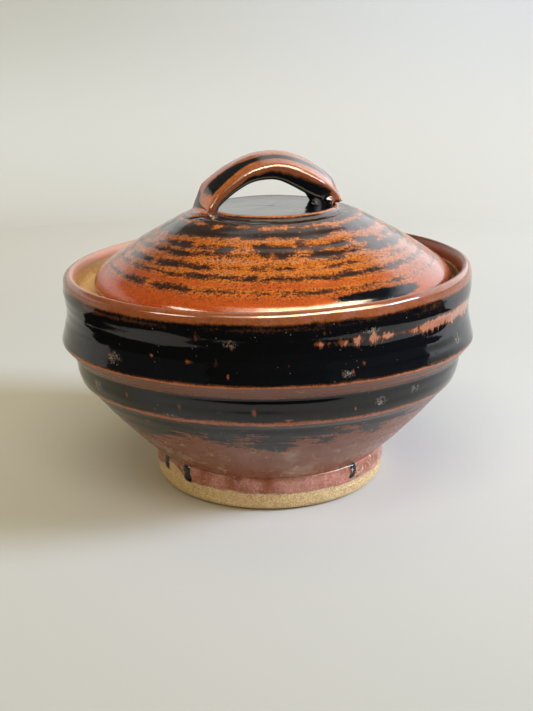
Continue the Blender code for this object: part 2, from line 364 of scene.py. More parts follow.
def bowl_fields(t, outer):
    """Where the glaze breaks to rust, where clay is bare, how warm and how dull it is.

    rust and bare are signed distances in millimetres, positive inside the patch.
    """
    a = t.angle
    z = t.level / MM
    wander = round_noise(a, 0.018, 31)
    coarse = ring_noise(a, t.level, 0.03, 0.01, 33)

    lip = z - (112.3 + 0.55 * wander)
    arris = np.minimum(81.0 + 0.25 * wander - z, z - (73.2 + 0.5 * wander))
    line = np.minimum(59.9 + 0.2 * wander - z, z - (57.5 + 0.4 * wander))

    front_edge = 46.8 - 6.5 * hill(a, -45, 17) + 3.5 * hill(a, 27, 9) + 5.0 * hill(a, 52, 12)
    cone = (front_edge + 5.0 * coarse - z) * 0.3
    island = hill(a, 3, 5.0) * hill(z, 44, 5.0) + 0.8 * hill(a, -6, 5) * hill(z, 36, 2.5)
    island = island + 0.8 * hill(a, -38, 10) * hill(z, 34, 3)
    cone = limited(cone - 1.8 * island)

    centre = 101.8 + 0.02 * np.clip(a - 40, 0, 60)
    ticks = round_noise(a, 0.0034, 41, 2)
    reach_down = 3.4 + 1.7 * round_noise(a, 0.006, 43, 2)
    band = np.where(z > centre, 2.0 - 0.8 * (z - centre), 2.0 - 2.0 * (centre - z) / reach_down)
    joined_up = smooth(a, 30, 42) * (1 - smooth(a, 120, 150))
    broken = smooth(a, 9, 14) * (1 - joined_up)
    behind = smooth(-a, 105, 120) * (1 - smooth(-a, 150, 170))
    reach = broken * (-1.1 + 2.4 * ticks) + behind * (-0.6 + 1.6 * ticks)
    window = np.maximum.reduce([joined_up, broken, behind])
    reach = reach + joined_up * 1.5 * round_noise(a, 0.026, 45, 2)
    band = np.where(window > 0.02, band + reach - 3 * (1 - window), -3)

    halo = hill(z, 110.0, 3.0) * (1.2 + 0.8 * coarse) - 1.9
    rust = np.maximum.reduce([lip, arris, line, cone, band, halo, spot_field(a, z, BOWL_SPOTS)])
    inner_rust = np.where(z > 108.6, z - 109.6, 67.0 - z)
    rust = np.where(outer, rust, inner_rust)

    bare_step = np.minimum(110.4 + 0.8 * wander + 1.2 * smooth(-a, 60, 90) - z, z - 99.2)
    bare = np.where(outer, -3, bare_step)
    under = z < 19.4
    bare = np.where(outer & under & (t.radius < 0.0615), 3, bare)

    warm = np.where(z > 109, 0.34 - 0.1 * smooth(np.abs(a), 20, 70), 0.1)
    warm = np.where((z < 106) & (z > 95), 0.3, warm)
    warm = warm + 0.3 * hill(z, 80.4, 0.8)
    # Painted shade: the undercut below the arris, 62 to 79.6 mm, and the downward-facing cone
    # below 56.5 mm are darkened towards deep rust, the cone less on its right, where the window
    # light falls.
    deep_and_shade = 0.88 * (z < 79.6) * (z > 62.0) + 0.68 * smooth(56.5 - z, 0, 1.5) * (z > 10)
    deep_and_shade = deep_and_shade - 0.35 * smooth(a, 20, 80) * (z < 56)
    # The lip above 109 mm is darkened too, most at the sides.
    deep_and_shade = deep_and_shade + (0.42 + 0.1 * smooth(np.abs(a), 20, 70)) * (z > 109)
    # Inside the rim, painted shade: 0.3 all round, and full from 35 to 178 degrees, where the gap
    # between lid and rim lies in shadow.
    shaded = smooth(a, 35, 75) * (1 - smooth(a, 150, 178))
    deep_and_shade = np.where(outer, deep_and_shade, 0.3 + 0.7 * shaded)
    runs = 0.7 * window * (z > 94) * (z < 108) + 0.35 * smooth(58 - z, 0, 4) + 0.06 * (z > 108)
    fray = smooth(58 - z, 0, 4) * (z > 10) * outer
    # A pale pink mixed into the rust: the ticks' own colour between 94 and 106 mm, and a painted
    # sheen on the lip's top at the sides and on the inner rim at the left.
    side = smooth(np.abs(a), 50, 80) * (z > 112)
    pale = 0.32 * (z < 106) * (z > 94) * outer + 0.15 * side * outer
    pale = np.where(outer, pale, 0.75 * smooth(-a, 30, 75) * (z > 106))
    satin = 0.85 * hill(z, 76.5, 3.2) + 0.55 * smooth(62.0 - z, 0, 4) * (z > 10)
    satin = satin + 0.35 * hill(z, 66, 5)
    satin = np.where(outer, satin, 0.7)
    return {"flow": flow_field(t), "rust": limited(rust), "warm": warm,
            "satin": unit(satin), "bare": limited(bare),
            "deep_and_shade": unit(deep_and_shade), "runs": unit(runs), "fray": fray,
            "pale": pale, "nick_and_glint": smooth(spot_field(a, z, BOWL_NICKS_AND_GLINTS), -0.35, 0.5) * outer,
            "craze": 0.8 * smooth(46 - z, 0, 10) * (z > 10) * outer}


def spot_field(angle, height, spots):
    """Signed distance in millimetres to the nearest small spot."""
    best = np.full(len(angle), -FAR)
    for middle, level, wide, high in spots:
        across = (angle - middle) * np.radians(1.0) * BODY_RADIUS / MM
        away = np.hypot(across / wide, (height - level) / high)
        best = np.maximum(best, (1.15 - away) * min(wide, high) * 1.6)
    return best


# ======== foot ring
def foot_outline():
    """Outer side from the top down, the standing flat, and the inner side."""
    top = FOOT_TOP_Z
    outer = soft_curve([
        (0.0617, top), (0.0623, top - 0.0012), (0.0626, 0.014), (FOOT_RADIUS, 0.0095),
        (0.0626, 0.0062), (0.0619, 0.003), (0.0606, 0.0011), (0.059, 0.0002),
        (0.0582, 0.0)], 0.0004)
    flat = soft_curve([
        (0.0576, 0.0), (0.0532, 0.0), (0.0524, 0.0004), (0.0518, 0.0016)], 0.0008)
    inner = soft_curve([(0.0518, 0.0024), (0.0526, 0.01), (0.0535, top)], 0.0012)
    close = soft_curve([(0.0545, top), (0.0608, top)], 0.0015)
    return joined(outer, flat, inner, close)


def make_foot():
    """The ring under the bowl, with a glaze roll where the glaze stops."""
    t = Turned(foot_outline(), closed=True)
    z = t.level / MM
    edge = foot_glaze_edge(t.angle)
    outside = t.radius > 0.057
    roll = 0.00035 * hill(z - edge, 0.7, 0.8) * outside
    lumps = 0.0002 * ring_noise(t.angle, t.level, 0.016, 0.006, 51)
    grooves = 0.00008 * np.sin(math.tau * t.level / 0.0021) * (z < edge) * outside
    oval = 0.006 * t.radius * np.cos(np.radians(2 * t.angle)) * -0.5
    drips = foot_drips(t)
    free = smooth(z, 0.0, 2.0)
    radius = t.radius + oval + (roll + lumps + grooves + 0.0006 * smooth(drips, -0.5, 1)) * free
    foot = mesh_object("foot_ring_clay", t.points(radius, t.level), t.faces(),
                       foot_fields(t, edge, drips))
    weld_axis(foot)
    return foot


def foot_glaze_edge(angle):
    """Height of the glaze's lower edge, in millimetres, round the foot."""
    wander = round_noise(angle, 0.01, 55)
    edge = 9.6 + 0.5 * wander + 0.9 * hill(angle, -25, 12)
    return edge + 6.5 * hill(angle, -56, 9) + 1.2 * smooth(angle, 60, 100)


def foot_drips(t):
    """Signed distance in millimetres of the black drips that ran onto the foot."""
    z = t.level / MM
    arc = np.radians(1.0) * 62.5
    best = np.full(len(z), -FAR)
    for centre, width, low in ((-44.5, 2.5, 9.8), (44.0, 2.0, 11.5), (-62, 2.6, 11.2),
                               (128, 2.4, 11.0), (-150, 2.2, 12.0)):
        lean = centre + 3.0 * (18 - z) / 9.0 * np.sign(-centre) * 0.6
        across = width - np.abs(t.angle - lean) * arc
        best = np.maximum(best, np.minimum(across, z - low))
    return best


def foot_fields(t, edge, drips):
    """Plum glaze above the ragged edge, bare clay below it."""
    z = t.level / MM
    outside = t.radius > 0.057
    bare = np.where(outside, (edge - z) * 0.8, 3)
    bare = np.minimum(bare, np.where(outside, -drips * 1.2 + 0.2, 3))
    rust = np.where(outside, 3 - 6 * smooth(drips, -0.4, 0.4), 3)
    warm = 0.08 + 0.06 * ring_noise(t.angle, t.level, 0.02, 0.01, 57)
    return {"flow": flow_field(t, 0.0625), "rust": rust, "warm": warm,
            "satin": 0.6, "bare": limited(bare),
            "speckle": 0.3, "craze": 0.4 + 0.6 * smooth(t.angle, 0, 20)}


# ======== lid
def lid_outline():
    """Top from the centre out to the rolled edge, the seat, and the hollow below."""
    disc = soft_curve([
        (ON_AXIS, DISC_Z - 0.0004), (0.02, DISC_Z - 0.0004), (0.031, DISC_Z - 0.0001)], 0.0012)
    shoulder = soft_curve([
        (0.0318, DISC_Z), (0.0332, DISC_Z + 0.0001), (0.0343, DISC_Z - 0.0003),
        (0.0353, DISC_Z - 0.001)], 0.0004)
    slope = soft_curve([
        (0.0358, DISC_Z - 0.0013), (0.0385, DISC_Z - 0.002), (0.043, 0.1447), (0.0485, 0.1424),
        (0.058, 0.1374), (0.0685, 0.1316), (0.0775, 0.126), (0.0865, 0.1202), (0.091, 0.1168),
        (0.0932, 0.1143)], 0.0006)
    edge = soft_curve([
        (0.0936, 0.1136), (0.0944, 0.1118), (LID_RADIUS, 0.1103), (0.0941, 0.1088),
        (0.0932, 0.1078)], 0.0004)
    seat = soft_curve([
        (0.0928, 0.1071), (0.0922, SEAT_Z), (0.0865, SEAT_Z), (0.0858, 0.1066)], 0.0006)
    hollow = soft_curve([
        (0.0852, 0.1085), (0.081, 0.1158), (0.065, 0.1258), (0.0455, 0.1362), (0.03, 0.1404),
        (ON_AXIS, 0.1408)], 0.0016)
    return joined(disc, shoulder, slope, edge, seat, hollow)


def make_lid():
    """The domed lid, with throwing rings on its slope."""
    t = Turned(lid_outline())
    top = t.run < t.run[t.ring == int(np.argmax(t.outline[:, 0]))][0] + 0.0005
    rings = 0.00011 * np.sin(math.tau * (t.radius / 0.0068 + t.angle / 360.0))
    rings = rings * hill(t.radius, 0.064, 0.02) * top
    lumps = 0.00018 * ring_noise(t.angle, t.radius, 0.025, 0.01, 61) * smooth(t.radius, 0.02, 0.04)
    at_seat = hill(t.level, SEAT_Z, 0.0015)
    disc_dish = 0.00008 * ring_noise(t.angle, t.radius, 0.05, 0.012, 62) * (t.radius < 0.033)
    height = t.level + (rings + lumps) * (1 - at_seat) + disc_dish
    height = height + np.sin(np.radians(t.angle)) * t.radius * SEAT_TILT
    radius = t.radius * (1 + 0.0015 * np.cos(np.radians(2 * t.angle + 70)))
    points = t.points(radius, height)
    points[:, 0] += LID_X
    lid = mesh_object("lid_dome", points, t.faces(), lid_fields(t, top))
    weld_axis(lid)
    return lid


LENS_STRENGTH = 2.6           # how solid the black patch at the right of the edge is

# Each band: middle radius and half width in millimetres, how solid, how broken up.
LID_BANDS = (
    (39.2, 4.9, 0.4, 1.5),
    (50.2, 3.4, 0.2, 2.0),
    (60.0, 1.8, -0.6, 2.6),
    (65.0, 2.8, -1.6, 2.6),
    (77.9, 0.9, -0.35, 1.5),
    (85.4, 0.9, -1.1, 1.4),
    (72.2, 0.5, -0.9, 1.2),
)

# Each dash: radius in millimetres, angles where it starts and ends, half width.
LID_DASHES = (
    (72.6, -74, -54, 1.5),
    (72.6, -50, -38, 1.6),
    (72.3, -35, -24, 1.1),
    (72.0, -7.5, -2.5, 1.0),
    (78.0, -10, -5.5, 1.5),
    (77.6, -26, -12, 0.8),
    (85.2, -58, -47, 1.3),
    (85.2, -42, -29, 1.2),
    (60.4, -9, 3, 2.2),
    (61.4, -26, -19, 2.4),
    (58.8, 42, 52, 2.2),
    (56.0, 11.5, 15, 1.3),
    (72.6, 100, 135, 1.3),
    (85.0, 150, 176, 1.2),
    (61.0, -140, -118, 2.0),
)


def lid_fields(t, top):
    """Concentric broken bands where the brush left the glaze thick and black."""
    a = t.angle
    r = t.radius / MM
    drift = 3.4 * np.clip(np.abs(a) / 72, 0, 1.3) ** 2 * hill(r, 60, 16) * np.where(a < 0, 1, 0.35)
    wander = round_noise(a, 0.03, 71)
    q = r - drift - 0.5 * wander
    broken = ring_noise(a, q * MM, 0.009, 0.0035, 73)
    patches = ring_noise(a, q * MM, 0.022, 0.006, 75)

    dark = np.full(len(r), -FAR)
    for centre, half, strength, gaps in LID_BANDS:
        body = (half - np.abs(q - centre)) * 0.9 + strength
        body = body + gaps * (0.75 * broken + 0.75 * patches)
        dark = np.maximum(dark, body)
    dark = np.maximum(dark, dash_field(a, q))
    lens = np.minimum(15.5 - np.abs(a - 34.5), 15) / 4.5
    lens = np.minimum(lens, 2.6 - np.abs(r - 90.4) - 0.006 * (a - 34.5) ** 2)
    dark = np.maximum(dark, LENS_STRENGTH * lens)

    in_disc = 3.0 - 6.0 * smooth(r, 32.6, 33.4)
    rust_ring = hill(r, 33.9, 0.5) * 5
    dark = np.maximum(dark - rust_ring, in_disc)
    dark = dark + 1.1 * patches * hill(r, 62, 9) - 1.6 * hill(a, 38, 20) * hill(r, 52, 7)
    dark = dark + (0.9 + 0.6 * broken) * hill(a, 62, 18) * hill(r, 68, 12)
    rust = np.where(top, -dark, 1.0)
    speckle = 0.45 * smooth(r, 44, 50) + hill(r, 64, 8) * 0.6 + hill(r, 78, 3) * 0.5
    speckle = speckle + hill(r, 86, 3.0) * (0.4 + 0.6 * hill(a, 5, 35)) - 0.4 * hill(r, 91.5, 2)
    speckle = speckle - 0.45 * smooth(patches, -0.1, 0.7) * smooth(r, 58, 66)
    bare = np.where(top, -3.0, 109.4 - t.level / MM)
    bare = np.where(~top & (r < 84.0), 84.0 - r - 3.0, bare)
    warm = 0.8 + 0.1 * patches - 0.12 * hill(r, 91, 4) - 0.1 * hill(r, 81.5, 2.2)
    # The left side, turned away from the window light, gets a browner, darker tone: partly painted
    # shade, partly the glaze's own colour.
    warm = warm - 0.3 * smooth(-a, 25, 60)
    warm = np.where(r < 37, 0.45, warm)
    return {"flow": flow_field(t, 0.065), "rust": limited(rust), "warm": warm,
            "satin": np.where(r < 33, 0.06, 0.12), "bare": limited(bare),
            "deep_and_shade": 0.45 * hill(a, 68, 26) * (r > 40) * top,
            "speckle": unit(speckle), "ink": np.maximum(smooth(lens, -0.6, 0.2), r < 33),
            "red": unit(hill(r, 91, 4.5) + 0.8 * hill(r, 81.8, 2.0))}


def dash_field(angle, radius):
    """Signed distance in millimetres to the nearest dark dash."""
    best = np.full(len(angle), -FAR)
    for middle, start, end, half in LID_DASHES:
        along = np.minimum(angle - start, end - angle) * np.radians(1.0) * middle
        best = np.maximum(best, np.minimum(half - np.abs(radius - middle), along * 0.6))
    return best


# ======== strap handle
# Front and back edges of the strap, seen along its width: (along, height).
STRAP_FRONT_TOP = (
    (-0.0366, 0.1462), (-0.0348, 0.1508), (-0.0275, 0.1588), (-0.0156, 0.1671),
    (-0.0035, 0.1704), (0.006, 0.1697), (0.0165, 0.1655), (0.026, 0.16), (0.0338, 0.1535),
    (0.0362, 0.1492))
STRAP_BACK_TOP = (
    (-0.0412, 0.1462), (-0.0388, 0.1525), (-0.037, 0.1572), (-0.0348, 0.1603), (-0.024, 0.168),
    (-0.011, 0.1738), (0.001, STRAP_TOP_Z + 0.0007), (0.013, 0.1738), (0.025, 0.168),
    (0.0346, 0.1606), (0.0364, 0.1574), (0.037, 0.153), (0.037, 0.1462))
STRAP_FRONT_LOW = (
    (-0.0318, 0.1455), (-0.03, 0.1494), (-0.0246, 0.1541), (-0.0188, 0.158), (-0.0128, 0.1609),
    (-0.0045, 0.1623), (0.002, 0.1614), (0.0083, 0.1583), (0.015, 0.1545), (0.0215, 0.1512),
    (0.028, 0.1495), (0.0345, 0.1484))
STRAP_BACK_LOW = (
    (-0.0315, 0.1455), (-0.03, 0.1515), (-0.0246, 0.1565), (-0.0188, 0.1603), (-0.0128, 0.1629),
    (-0.0045, 0.1643), (0.003, 0.1635), (0.01, 0.16), (0.017, 0.155), (0.0225, 0.1455))
STRAP_HALF_WIDTH = 0.013
STRAP_ROUNDING = (0.003, 0.0034, 0.0036, 0.0026)
STRAP_LEG = ((0.0272, -0.0042, 0.1474), (0.0036, 0.008, 0.005))  # middle, half sizes
# Pads of clay that join the strap to the lid: (along, reach along, extra width).
STRAP_PADS = ((-0.038, 0.0105, 0.003), (0.027, 0.006, -0.004))
PAD_HALF_HEIGHT = 0.002
PAD_SUNK = 0.0008             # how deep the middle of a pad lies in the lid
STRAP_STEPS = 120             # sections along the strap
STRAP_CROWN = 0.0007          # how far the middle of the top side stands up
STRAP_VOXEL = 0.00055         # grain of the skin round strap, pads and leg


def strap_sections(count):
    """Rounded sections of the strap from its left foot to its right foot."""
    corners = [in_steps(soft_curve(knots, 0.0003), count) for knots in
               (STRAP_FRONT_TOP, STRAP_BACK_TOP, STRAP_BACK_LOW, STRAP_FRONT_LOW)]
    widths = (-1, 1, 1, -1)
    sections = []
    share = np.linspace(0, 1, count)
    for i in range(count):
        flare = 1 + 0.1 * max(1 - 2 * share[i], 0) ** 6
        pinch = 1 - 0.3 * smooth(corners[0][i, 0], 0.024, 0.035)
        ring = [np.array([c[i, 0], w * STRAP_HALF_WIDTH * flare * (pinch if w < 0 else 1),
                          c[i, 1]]) for c, w in zip(corners, widths)]
        sections.append(rounded_section(ring, STRAP_ROUNDING))
    return np.array(sections)


def direction(start, end):
    """The unit vector from one point to another."""
    return (end - start) / np.linalg.norm(end - start)


def rounded_section(ring, radii, steps=6):
    """A quadrilateral with rounded corners, crowned on its top side."""
    points = []
    for k, corner in enumerate(ring):
        onward = direction(corner, ring[(k + 1) % 4])
        start = corner + direction(corner, ring[k - 1]) * radii[k]
        end = corner + onward * radii[k]
        for t in np.linspace(0, 1, steps):
            points.append((1 - t) ** 2 * start + 2 * t * (1 - t) * corner + t * t * end)
        finish = ring[(k + 1) % 4] - onward * radii[(k + 1) % 4]
        bulge = STRAP_CROWN if k == 0 else 0.0
        inward = direction(ring[0] + ring[1], ring[2] + ring[3])
        for t in np.linspace(0, 1, 10)[1:-1]:
            crown = -inward * bulge * math.sin(math.pi * t)
            points.append(end * (1 - t) + finish * t + crown)
    return np.array(points)


def make_handle():
    """The pulled strap, its feet pressed out and smoothed into the lid."""
    sections = strap_sections(STRAP_STEPS)
    faces = grid_faces(STRAP_STEPS, sections.shape[1])
    strap = mesh_object("strap_form", to_lid(sections.reshape(-1, 3)), faces, {})
    form = bmesh.new()
    form.from_mesh(strap.data)
    bmesh.ops.holes_fill(form, edges=[e for e in form.edges if e.is_boundary], sides=0)
    bmesh.ops.recalc_face_normals(form, faces=form.faces)
    form.to_mesh(strap.data)
    form.free()

    pads = [strap]
    for along, reach, extra in STRAP_PADS:
        pads.append(clay_pad(along, reach, STRAP_HALF_WIDTH + extra))
    pads.append(clay_leg(*STRAP_LEG))
    handle = merged(pads, "strap_handle_clay", STRAP_VOXEL)
    soften_joint(handle)
    points = vertex_array(handle.data)
    write_fields(handle.data, strap_fields(handle.data, points))
    handle.data.shade_smooth()
    return handle


def to_lid(local):
    """From the strap's own axes (along, across, up) to the frame."""
    c, s = math.cos(HANDLE_ANGLE), math.sin(HANDLE_ANGLE)
    x = LID_X + local[:, 0] * c - local[:, 1] * s
    y = local[:, 0] * s + local[:, 1] * c
    return np.stack([x, y, local[:, 2] + SEAT_TILT * local[:, 0]], 1)


def from_lid(points):
    """From the frame to the strap's own axes."""
    c, s = math.cos(HANDLE_ANGLE), math.sin(HANDLE_ANGLE)
    x, y = points[:, 0] - LID_X, points[:, 1]
    return np.stack([x * c + y * s, -x * s + y * c, points[:, 2]], 1)


def from_lid_axis(points):
    """Distance of points from the lid's axis."""
    return np.hypot(points[:, 0] - LID_X, points[:, 1])


def lid_height(radius):
    """Height of the lid's upper surface at a radius from its axis."""
    outline = lid_outline()
    top = outline[:int(np.argmax(outline[:, 0]))]
    return np.interp(radius, top[:, 0], top[:, 1])


def clay_ball(name, segments):
    """A sphere of radius 1: its mesh and its vertex positions."""
    form = bmesh.new()
    bmesh.ops.create_uvsphere(form, u_segments=segments, v_segments=24, radius=1.0)
    mesh = bpy.data.meshes.new(name)
    form.to_mesh(mesh)
    form.free()
    return mesh, vertex_array(mesh)


def clay_pad(along, reach, half_width):
    """A low pad of clay that hugs the lid round one foot of the strap."""
    mesh, ball = clay_ball("pad", 48)
    local = ball * np.array([reach, half_width, PAD_HALF_HEIGHT])
    local[:, 0] += along
    points = to_lid(local)
    radius = from_lid_axis(points)
    tilt = SEAT_TILT * (points[:, 0] - LID_X)
    points[:, 2] = lid_height(radius) - PAD_SUNK + local[:, 2] + tilt
    move_vertices(mesh, points)
    return placed("pad", mesh)


def clay_leg(middle, half):
    """The stub that carries the right end of the strap over the disc's edge."""
    mesh, ball = clay_ball("leg", 32)
    squared = np.sign(ball) * np.abs(ball) ** 0.5
    move_vertices(mesh, to_lid(squared * np.array(half) + np.array(middle)))
    return placed("leg", mesh)


def merged(items, name, voxel):
    """One closed skin round several overlapping solids."""
    form = bmesh.new()
    for item in items:
        form.from_mesh(item.data)
        bpy.data.objects.remove(item, do_unlink=True)
    mesh = bpy.data.meshes.new(name)
    form.to_mesh(mesh)
    form.free()
    whole = placed(name, mesh)
    remesh = whole.modifiers.new("one_skin", "REMESH")
    remesh.mode = "VOXEL"
    remesh.voxel_size = voxel
    bpy.context.view_layer.update()
    skin = whole.evaluated_get(bpy.context.evaluated_depsgraph_get())
    final = bpy.data.meshes.new_from_object(skin)
    final.name = name
    whole.modifiers.clear()
    whole.data = final
    return whole


def vertex_array(mesh, key="co"):
    """Vertex positions, or another vector of each vertex, as an array."""
    values = np.zeros(len(mesh.vertices) * 3, np.float32)
    mesh.vertices.foreach_get(key, values)
    return values.reshape(-1, 3).astype(float)


def move_vertices(mesh, points):
    """Gives a mesh new vertex positions."""
    mesh.vertices.foreach_set("co", points.astype(np.float32).ravel())


def neighbour_mean(points, edges):
    """Mean of each vertex's neighbours."""
    total = np.zeros_like(points)
    count = np.zeros(len(points))
    for here, there in ((0, 1), (1, 0)):
        np.add.at(total, edges[:, here], points[edges[:, there]])
        np.add.at(count, edges[:, here], 1)
    return total / np.maximum(count, 1)[:, None]


def soften_joint(handle):
    """Smooths the strap lightly, and its feet strongly, as a wet finger would."""
    mesh = handle.data
    edges = np.zeros(len(mesh.edges) * 2, np.int32)
    mesh.edges.foreach_get("vertices", edges)
    edges = edges.reshape(-1, 2)
    points = vertex_array(mesh)
    radius = from_lid_axis(points)
    above = points[:, 2] - lid_height(radius)
    near = 1 - smooth(above, 0.001, 0.0055)
    for turn in range(16):
        weight = 0.5 * near if turn >= 4 else np.full(len(points), 0.5)
        points = points + (neighbour_mean(points, edges) - points) * weight[:, None]
    local = from_lid(points)
    grooves = 0.00016 * np.sin(local[:, 1] / 0.0031 + 0.6)
    grooves = grooves * smooth(above, 0.003, 0.008)
    lumps = 0.00018 * fractal(points / 0.009, 81)
    points[:, 2] += grooves + lumps * smooth(above, 0.001, 0.004)
    move_vertices(mesh, points)
    mesh.update()


def strap_fields(mesh, points):
    """Stripes along the strap: rust, black and orange on top, black underneath."""
    local = from_lid(points)
    along, across, height = local.T
    normals = vertex_array(mesh, "normal")
    n_along = normals[:, 0] * math.cos(HANDLE_ANGLE) + normals[:, 1] * math.sin(HANDLE_ANGLE)
    arch = np.stack([along + 0.002, height - 0.133], 1)
    arch /= np.linalg.norm(arch, axis=1)[:, None]
    outward = n_along * arch[:, 0] + normals[:, 2] * arch[:, 1]

    u = along / MM
    t = across / MM + 0.8 * fractal(points / 0.01, 91)
    middle = -3.2 + 3.6 * smooth(u, 5, 34)
    half = 2.4 + 2.9 * smooth(-u, 10, 30) + 0.7 * smooth(u, 10, 30)
    stripe = np.minimum(half - np.abs(t - middle), (height - 0.1552) / MM)
    top = height_along(STRAP_FRONT_TOP, along)
    low = height_along(STRAP_FRONT_LOW, along)
    depth = (top - height) / np.maximum(top - low, 0.004)
    limit = 0.4 - 0.14 * smooth(u, 4, 24) + 0.22 * smooth(-u, 10, 26)
    black_face = np.where(across < -0.0085, (depth - limit) * 7.0, -3)
    black_face = np.minimum(black_face, 29.0 - np.abs(u))
    black = np.maximum(stripe, black_face)
    under = smooth(-outward, 0.05, 0.35)
    black = black * (1 - under) + 2.6 * under
    end_face = smooth(-n_along, 0.88, 0.97) * smooth(0.1565 - height, 0, 0.002) * (u < -33)
    black = np.maximum(black, 3.0 * end_face - 0.5)
    black = np.where(end_face + under > 0.2, black, np.maximum(stripe, black_face))
    radius = from_lid_axis(points)
    above = (points[:, 2] - lid_height(radius)) / MM
    foot = smooth(above, 0.5, 1.8)
    rust = -black * foot - 1.2 * (1 - foot)
    rust = rust + 2.0 * hill(above, 0.4, 0.22) * smooth(-u, 28, 34)
    front = smooth(depth, 0.0, 0.12) * smooth(-across, 0.008, 0.01)
    flow = np.stack([along * 1.2, across * 3.0, height * 0.5], 1)
    warm = 0.32 + 0.45 * smooth(-u, 5, 25) * hill(t, -7, 5) - 0.15 * smooth(t, 3, 8)
    return {"flow": flow, "rust": limited(rust), "warm": warm,
            "satin": 0.1 + 0.8 * under, "bare": -3.0, "speckle": 0.35,
            "red": 0.45 * smooth(t, 2, 6), "deep_and_shade": 0.78 * front}


def height_along(knots, along):
    """Height of a line of (along, height) points at places along the strap."""
    return np.interp(along, *np.array(knots).T)


# ======== materials
class Nodes:
    """A short way to write the node tree of a material or a world."""

    def __init__(self, owner, shader):
        self.owner = owner
        owner.use_nodes = True
        self.tree = owner.node_tree
        self.shader = self.tree.nodes[shader]

    @classmethod
    def material(cls, name):
        return cls(bpy.data.materials.new(name), "Principled BSDF")

    def add(self, kind, **settings):
        node = self.tree.nodes.new(kind)
        for key, value in settings.items():
            setattr(node, key, value)
        return node

    def feed(self, socket, value):
        if isinstance(value, bpy.types.NodeSocket):
            self.tree.links.new(value, socket)
        else:
            socket.default_value = value

    def field(self, name):
        node = self.add("ShaderNodeAttribute", attribute_name=name)
        return node.outputs["Vector"] if name == "flow" else node.outputs["Fac"]

    def math(self, operation, a, b=0.0, c=0.0):
        node = self.add("ShaderNodeMath", operation=operation)
        for socket, value in zip(node.inputs, (a, b, c)):
            self.feed(socket, value)
        return node.outputs[0]

    def product(self, value, *others):
        for other in others:
            value = self.math("MULTIPLY", value, other)
        return value

    def push(self, base, noise, amount):
        """base, moved up and down by a noise whose middle is 0.5."""
        return self.math("MULTIPLY_ADD", self.math("SUBTRACT", noise, 0.5), amount, base)

    def veins(self, noise, high, low):
        """Thin lines where a noise crosses its middle."""
        away = self.math("ABSOLUTE", self.math("SUBTRACT", noise, 0.5))
        return self.step(away, high, low)

    def place(self, kind):
        """The three coordinates of the shaded point."""
        split = self.add("ShaderNodeSeparateXYZ")
        self.feed(split.inputs[0], self.add("ShaderNodeTexCoord").outputs[kind])
        return split.outputs

    def stretch(self, vector, scale):
        node = self.add("ShaderNodeVectorMath", operation="MULTIPLY")
        self.feed(node.inputs[0], vector)
        self.feed(node.inputs[1], scale)
        return node.outputs[0]

    def noise(self, vector, scale, detail=4.0, rough=0.55, warp=0.0):
        node = self.add("ShaderNodeTexNoise")
        self.feed(node.inputs["Vector"], vector)
        for key, value in (("Scale", scale), ("Detail", detail), ("Roughness", rough),
                           ("Distortion", warp)):
            self.feed(node.inputs[key], value)
        return node.outputs["Fac"]

    def dots(self, vector, scale):
        node = self.add("ShaderNodeTexVoronoi", feature="F1")
        self.feed(node.inputs["Vector"], vector)
        self.feed(node.inputs["Scale"], scale)
        return node.outputs["Distance"], node.outputs["Color"]

    def step(self, value, low, high, to_low=0.0, to_high=1.0):
        node = self.add("ShaderNodeMapRange", interpolation_type="SMOOTHSTEP")
        for key, item in (("Value", value), ("From Min", low), ("From Max", high),
                          ("To Min", to_low), ("To Max", to_high)):
            self.feed(node.inputs[key], item)
        return node.outputs["Result"]

    def mix(self, share, a, b):
        node = self.add("ShaderNodeMix", data_type="RGBA")
        self.feed(node.inputs["Factor"], share)
        for socket, value in ((node.inputs[6], a), (node.inputs[7], b)):
            self.feed(socket, value if isinstance(value, bpy.types.NodeSocket)
                      else (*value, 1.0))
        return node.outputs[2]

    def blend(self, share, a, b):
        node = self.add("ShaderNodeMix", data_type="FLOAT")
        self.feed(node.inputs["Factor"], share)
        self.feed(node.inputs[2], a)
        self.feed(node.inputs[3], b)
        return node.outputs[0]

    def bump(self, height, distance, strength=1.0, normal=None):
        node = self.add("ShaderNodeBump")
        self.feed(node.inputs["Height"], height)
        self.feed(node.inputs["Distance"], distance)
        self.feed(node.inputs["Strength"], strength)
        if normal is not None:
            self.feed(node.inputs["Normal"], normal)
        return node.outputs["Normal"]


BLACK = (0.004, 0.0043, 0.0052)
SLATE = (0.034, 0.02, 0.015)
DEEP_BROWN = (0.062, 0.023, 0.012)
PLUM = (0.43, 0.155, 0.108)
FOOT_PLUM = (0.7, 0.31, 0.25)
BROWN = (0.23, 0.06, 0.012)
RUST = (0.35, 0.088, 0.024)
DEEP_RUST = (0.15, 0.05, 0.026)
ORANGE = (0.76, 0.2, 0.014)
OCHRE = (0.67, 0.205, 0.036)
RED = (0.6, 0.105, 0.016)
CLAY = (0.95, 0.72, 0.39)
CLAY_DARK = (0.5, 0.3, 0.14)
# Colour of painted shade on bare clay.
CLAY_PAINTED_SHADE = (0.13, 0.07, 0.032)
CRUST = (0.7, 0.56, 0.46)
PALE = (0.62, 0.35, 0.25)


